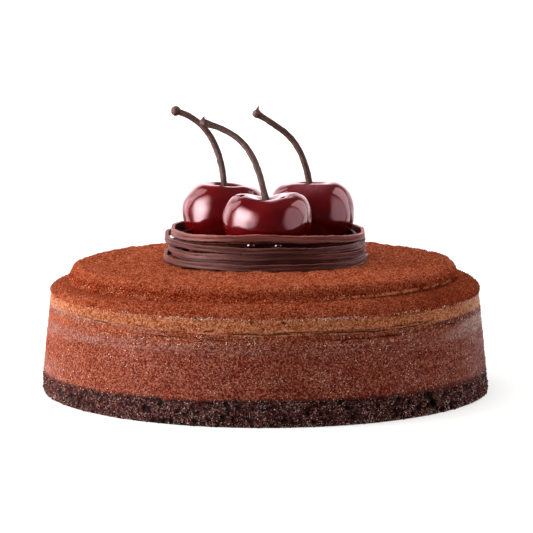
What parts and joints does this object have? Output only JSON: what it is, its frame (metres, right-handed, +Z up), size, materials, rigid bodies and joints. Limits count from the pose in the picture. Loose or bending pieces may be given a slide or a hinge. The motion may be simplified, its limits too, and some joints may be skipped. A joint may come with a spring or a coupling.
{
  "type": "chocolate cheesecake",
  "caption": "Small round layered chocolate cheesecake on a dark crumb base, its cocoa-dusted top crowned by a nest of chocolate strands that holds cherries on their stems.",
  "frame": {"origin": "middle of the cake's flat underside", "axes": "+Z up, -Y towards the front, where one cherry stands before the other two"},
  "size_m": [0.1501, 0.1501, 0.094],
  "materials": {
    "crumb": "coarse, matt, dark pressed crumb",
    "filling": "fine-grained baked chocolate cream, faint sheen",
    "mousse": "aerated, matt, with cocoa on its shoulder",
    "cocoa": "dry cocoa powder, fully matt",
    "chocolate": "dark chocolate, satin",
    "cherry": "glossy dark red skin",
    "stem": "brown, dull"
  },
  "bodies": {
    "root": {"crumb_base": "crumb", "chocolate_filling": "filling", "pale_mousse": "mousse", "cocoa_disc": "cocoa", "nest_strand_1": "chocolate", "nest_strand_2": "chocolate", "nest_strand_3": "chocolate", "nest_strand_4": "chocolate", "nest_strand_5": "chocolate", "nest_inner_strand_1": "chocolate", "nest_inner_strand_2": "chocolate", "nest_inner_strand_3": "chocolate", "cherry_front": "cherry", "cherry_left": "cherry", "cherry_right": "cherry", "stem_front": "stem", "stem_left": "stem", "stem_right": "stem"}
  },
  "joints": []
}
